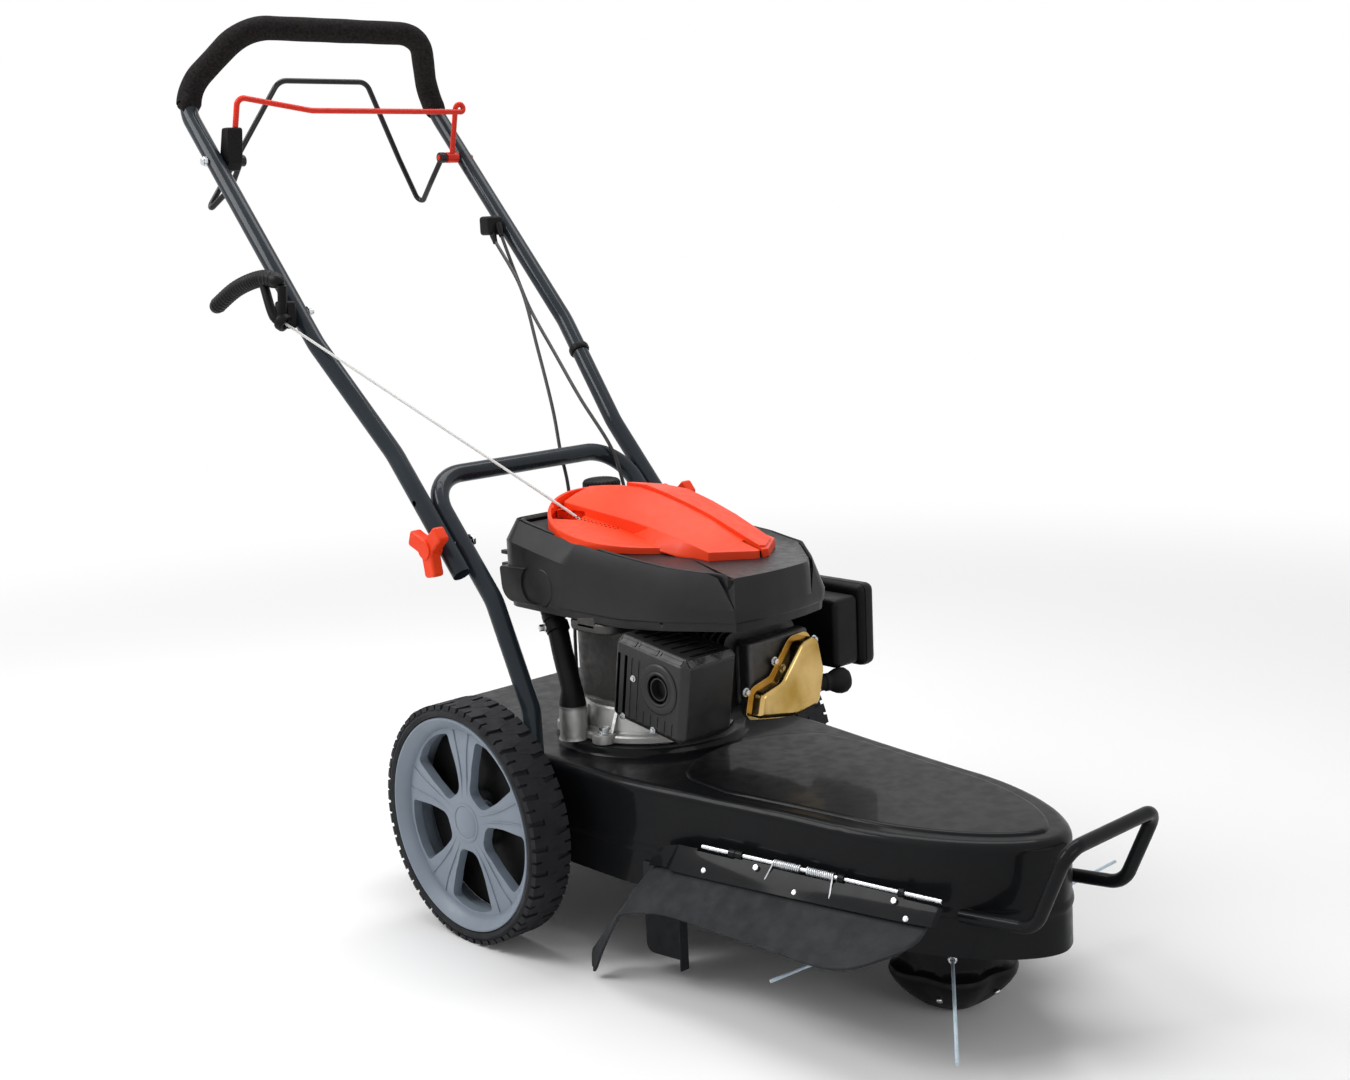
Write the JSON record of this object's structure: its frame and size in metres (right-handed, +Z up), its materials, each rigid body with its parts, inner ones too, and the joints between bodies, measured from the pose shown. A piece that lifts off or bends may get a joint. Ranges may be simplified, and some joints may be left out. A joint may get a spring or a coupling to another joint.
{
  "type": "petrol wheeled string trimmer",
  "caption": "Walk-behind petrol string trimmer with spoked wheels, a pressed deck, a nylon-line head at the nose, a sprung side flap and a folding handle with bails.",
  "frame": {"origin": "middle of the trimmer head's flat glide face, on the ground", "axes": "+Z up, -Y towards the nose, -X towards the operator's right"},
  "size_m": [0.5393, 1.3766, 1.1659],
  "materials": {
    "black_gloss": "gloss powder coat",
    "tube_blue_black": "gloss powder coat",
    "red_plastic": "moulded",
    "red_rod": "plastic coated",
    "black_rod": "plastic coated",
    "foam": "closed-cell foam",
    "black_plastic": "moulded",
    "shroud_grey": "moulded",
    "engine_casting": "as cast",
    "yellow_zinc": "yellow passivated",
    "steel": "bright",
    "muffler_black": "heat-proof paint",
    "wheel_grey": "moulded",
    "rubber": "matte",
    "nylon": "extruded",
    "rope": "braided",
    "cable_black": "sheathed"
  },
  "bodies": {
    "chassis": {"deck": "black_gloss", "axle_bracket_right": "black_gloss", "axle_bracket_left": "black_gloss", "front_guard": "black_gloss", "left_shield": "black_plastic", "spindle_housing": "engine_casting", "lower_handle": "tube_blue_black", "handle_bolt_right": "steel", "handle_bolt_left": "steel", "gearbox": "engine_casting", "head_belt": "rubber", "drive_belt": "rubber", "engine_block": "engine_casting", "valve_cover": "yellow_zinc", "muffler": "engine_casting", "muffler_guard": "muffler_black", "air_filter_base": "black_plastic", "fuel_tank": "black_plastic", "oil_filler": "black_plastic", "engine_shroud": "shroud_grey", "starter_cover": "red_plastic", "spark_plug": "steel", "flap_hinge_rod": "steel", "rear_flap": "rubber", "flap_spring_rear": "steel", "flap_spring_front": "steel", "brake_cable": "cable_black", "drive_cable": "cable_black", "starter_rope": "rope"},
    "side_guard": {"side_flap": "rubber", "flap_strip": "black_gloss"},
    "crank": {"crankshaft": "steel", "engine_pulley": "steel", "flywheel": "engine_casting"},
    "reel": {"starter_reel": "black_plastic"},
    "spindle": {"spindle_shaft": "steel", "spindle_pulley": "steel", "trimmer_head": "black_plastic", "trimmer_line_a": "nylon", "trimmer_line_b": "nylon"},
    "axle": {"rear_axle": "steel"},
    "gearbox_input": {"gearbox_pulley": "steel"},
    "wheel_right": {"wheel_rim_right": "wheel_grey", "tyre_right": "rubber"},
    "wheel_left": {"wheel_rim_left": "wheel_grey", "tyre_left": "rubber"},
    "handle": {"upper_handle": "tube_blue_black", "foam_grip": "foam", "cable_bracket": "black_plastic", "rope_guide": "black_plastic"},
    "grip": {"starter_grip": "black_plastic"},
    "clamp_knob_right": {"knob_right": "red_plastic"},
    "clamp_knob_left": {"knob_left": "red_plastic"},
    "operator_bail": {"red_bail": "red_rod", "bail_hub": "black_plastic"},
    "drive_bail": {"black_bail": "black_rod"},
    "tank_cap": {"fuel_cap": "black_plastic"},
    "oil_dipstick": {"dipstick": "black_plastic"},
    "boot": {"plug_boot": "rubber"},
    "filter_lid": {"air_filter_cover": "black_plastic"}
  },
  "joints": [
    {"name": "wheel_right_spin", "type": "hinge", "parent": "chassis", "child": "wheel_right", "pos_m": [0, 0.551, 0.15], "axis": [1, 0, 0], "continuous": true},
    {"name": "wheel_left_spin", "type": "hinge", "parent": "chassis", "child": "wheel_left", "pos_m": [0, 0.551, 0.15], "axis": [1, 0, 0], "continuous": true},
    {"name": "crank_spin", "type": "hinge", "parent": "chassis", "child": "crank", "pos_m": [0, 0.475, 0], "axis": [0, 0, 1], "continuous": true},
    {"name": "spindle_spin", "type": "hinge", "parent": "chassis", "child": "spindle", "pos_m": [0, 0, 0], "axis": [0, 0, 1], "continuous": true},
    {"name": "gearbox_input_spin", "type": "hinge", "parent": "chassis", "child": "gearbox_input", "pos_m": [0, 0.613, 0], "axis": [0, 0, 1], "continuous": true},
    {"name": "axle_spin", "type": "hinge", "parent": "chassis", "child": "axle", "pos_m": [0, 0.551, 0.15], "axis": [1, 0, 0], "continuous": true},
    {"name": "handle_fold", "type": "hinge", "parent": "chassis", "child": "handle", "pos_m": [0, 0.63619, 0.47689], "axis": [1, 0, 0], "range_deg": [0, 125], "deforming": ["starter_rope", "drive_cable", "brake_cable"]},
    {"name": "operator_bail_swing", "type": "hinge", "parent": "handle", "child": "operator_bail", "pos_m": [0, 1.07863, 0.96999], "axis": [1, 0, 0], "range_deg": [-46, 0], "stiffness_Nm_per_rad": 1.2, "springref_deg": 20.05},
    {"name": "drive_bail_swing", "type": "hinge", "parent": "handle", "child": "drive_bail", "pos_m": [0, 1.07863, 0.96999], "axis": [1, 0, 0], "range_deg": [0, 24], "stiffness_Nm_per_rad": 1.6, "springref_deg": -20.05},
    {"name": "side_guard_swing", "type": "hinge", "parent": "chassis", "child": "side_guard", "pos_m": [-0.159, 0.22, 0.1722], "axis": [-0.1606, 0.987, 0.0074], "range_deg": [0, 60], "stiffness_Nm_per_rad": 0.4, "springref_deg": -34.38},
    {"name": "knob_right_turn", "type": "hinge", "parent": "chassis", "child": "clamp_knob_right", "pos_m": [0, 0.63619, 0.47689], "axis": [1, 0, 0], "continuous": true},
    {"name": "knob_left_turn", "type": "hinge", "parent": "chassis", "child": "clamp_knob_left", "pos_m": [0, 0.63619, 0.47689], "axis": [1, 0, 0], "continuous": true},
    {"name": "grip_pull", "type": "slide", "parent": "handle", "child": "grip", "axis": [-0.4078, 0.7347, 0.5422], "range_m": [0, 0.3], "stiffness_N_per_m": 20, "springref_m": -0.25},
    {"name": "reel_turn", "type": "hinge", "parent": "chassis", "child": "reel", "pos_m": [0, 0.475, 0], "axis": [0, 0, 1], "range_deg": [0, 440]},
    {"name": "tank_cap_turn", "type": "hinge", "parent": "chassis", "child": "tank_cap", "pos_m": [0.08, 0.643, 0], "axis": [0, 0, 1], "continuous": true},
    {"name": "dipstick_turn", "type": "hinge", "parent": "chassis", "child": "oil_dipstick", "pos_m": [-0.096, 0.545, 0.386], "axis": [0.1617, 0.5659, 0.8085], "continuous": true},
    {"name": "boot_pull", "type": "slide", "parent": "chassis", "child": "boot", "axis": [0.9207, -0.3903, 0], "range_m": [0, 0.04]},
    {"name": "filter_lid_pull", "type": "slide", "parent": "chassis", "child": "filter_lid", "axis": [1, 0, 0], "range_m": [0, 0.05]}
  ],
  "couplings": [
    {"joint": "spindle_spin", "follows": "crank_spin", "ratio": 1},
    {"joint": "gearbox_input_spin", "follows": "crank_spin", "ratio": 0.85},
    {"joint": "axle_spin", "follows": "crank_spin", "ratio": 0.0425},
    {"joint": "reel_turn", "follows": "grip_pull", "rad_per_m": 25}
  ]
}
